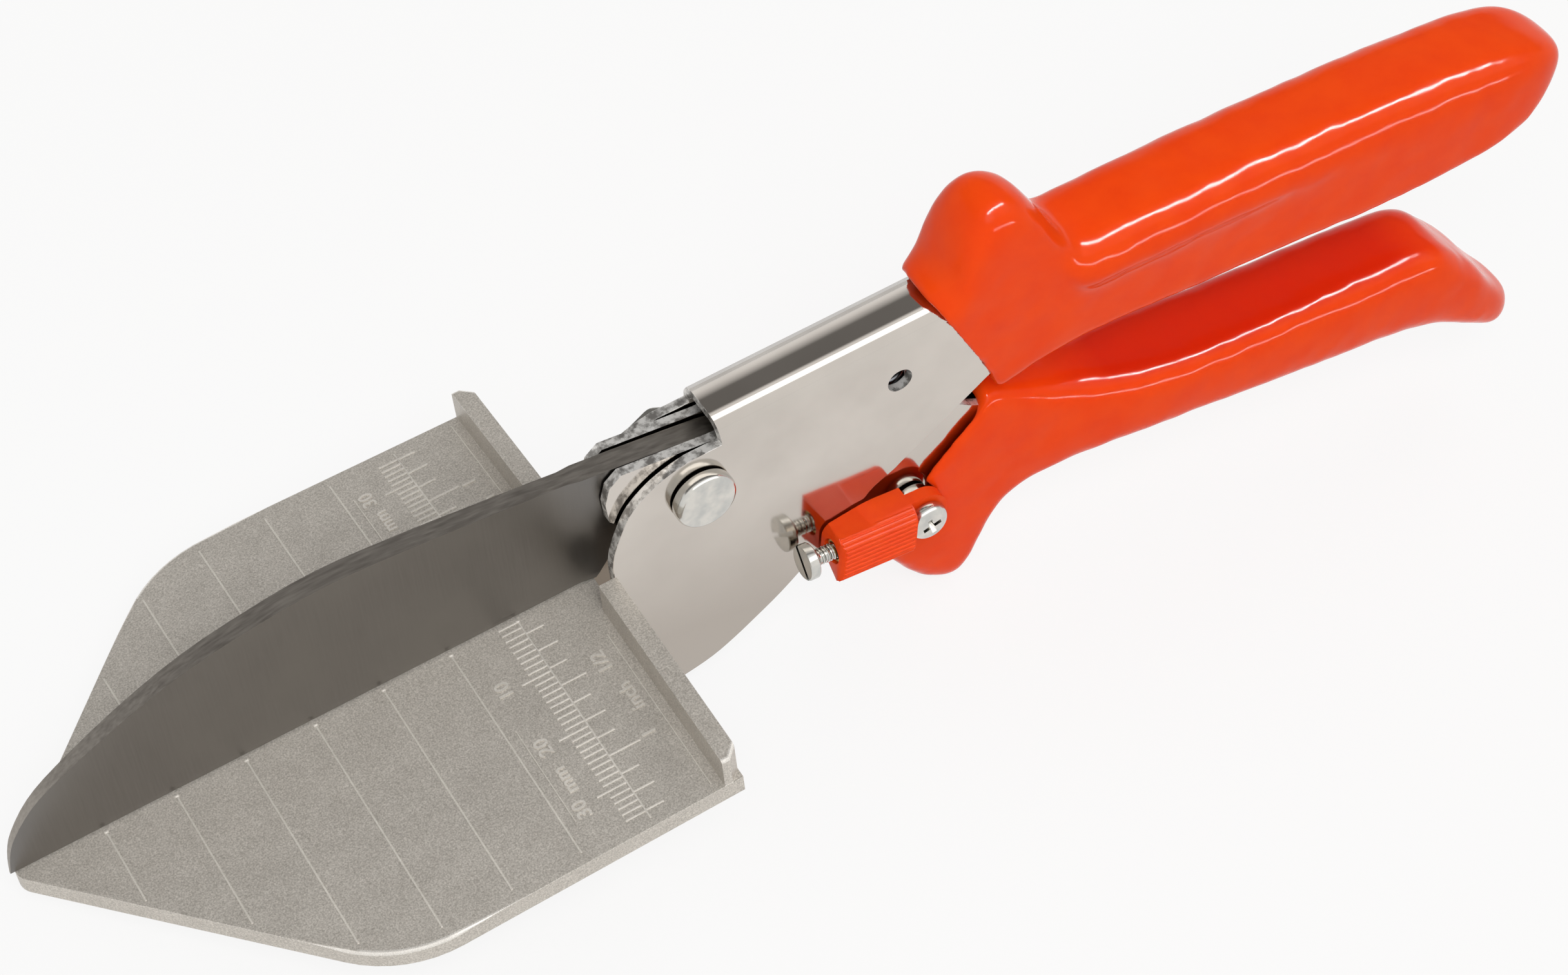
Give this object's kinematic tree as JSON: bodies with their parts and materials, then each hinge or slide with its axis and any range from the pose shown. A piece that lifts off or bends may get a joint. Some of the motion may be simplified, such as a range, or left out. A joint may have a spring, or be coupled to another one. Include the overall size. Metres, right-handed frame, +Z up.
{
  "type": "profile shears",
  "caption": "Hand-held profile shears: a curved blade closes on a wide angled anvil with a ruler and fence, orange grips.",
  "frame": {"origin": "middle of the footprint box, on the surface that the shears stand on", "axes": "+X from the blade's tip to the handles, +Y to the far side away from bolt head and latch, +Z up"},
  "size_m": [0.2398, 0.0758, 0.0727],
  "materials": {
    "polished_steel": "polished sheet steel with fine rolling lines",
    "blade_steel": "dark ground steel, bright at the edge",
    "die_cast": "satin die-casting, tumbled",
    "bright_zinc": "bright zinc plate",
    "spring_steel": "bare spring wire",
    "bronze": "sintered bronze",
    "brass": "turned brass",
    "black_plastic": "black moulded plastic",
    "orange_grip": "glossy dipped orange",
    "orange_latch": "moulded orange plastic"
  },
  "bodies": {
    "frame_lever": {"upper_body": "polished_steel", "upper_grip": "orange_grip", "anvil": "die_cast", "anvil_screw_front": "bright_zinc", "anvil_screw_rear": "bright_zinc", "anvil_nut_front": "bright_zinc", "anvil_nut_rear": "bright_zinc", "pivot_bolt": "bright_zinc", "pivot_washer": "bright_zinc", "pivot_nut": "bright_zinc", "spring_seat_upper": "black_plastic", "return_spring": "spring_steel"},
    "blade_lever": {"lower_lever": "polished_steel", "lower_grip": "orange_grip", "blade": "blade_steel", "blade_pin_upper": "bright_zinc", "blade_pin_lower": "bright_zinc", "pivot_bush": "bronze", "spring_seat_lower": "black_plastic", "seat_pin": "bright_zinc", "latch_screw": "bright_zinc", "latch_washer": "bright_zinc"},
    "latch_body": {"latch": "orange_latch", "adjusting_insert": "brass"},
    "adjuster": {"adjusting_screw": "bright_zinc"}
  },
  "joints": [
    {"name": "main_pivot", "type": "hinge", "parent": "frame_lever", "child": "blade_lever", "pos_m": [-0.02426, 0, 0.03873], "axis": [0, 1, 0], "range_deg": [0, 32], "deforming": ["return_spring"]},
    {"name": "latch_hinge", "type": "hinge", "parent": "blade_lever", "child": "latch_body", "pos_m": [0.0118, -0.0081, 0.02031], "axis": [0, -1, 0], "range_deg": [0, 50]},
    {"name": "adjuster_turn", "type": "hinge", "parent": "latch_body", "child": "adjuster", "pos_m": [0.01168, -0.0081, 0.0221], "axis": [-0.9979, 0, -0.065], "range_deg": [-360, 360]}
  ]
}
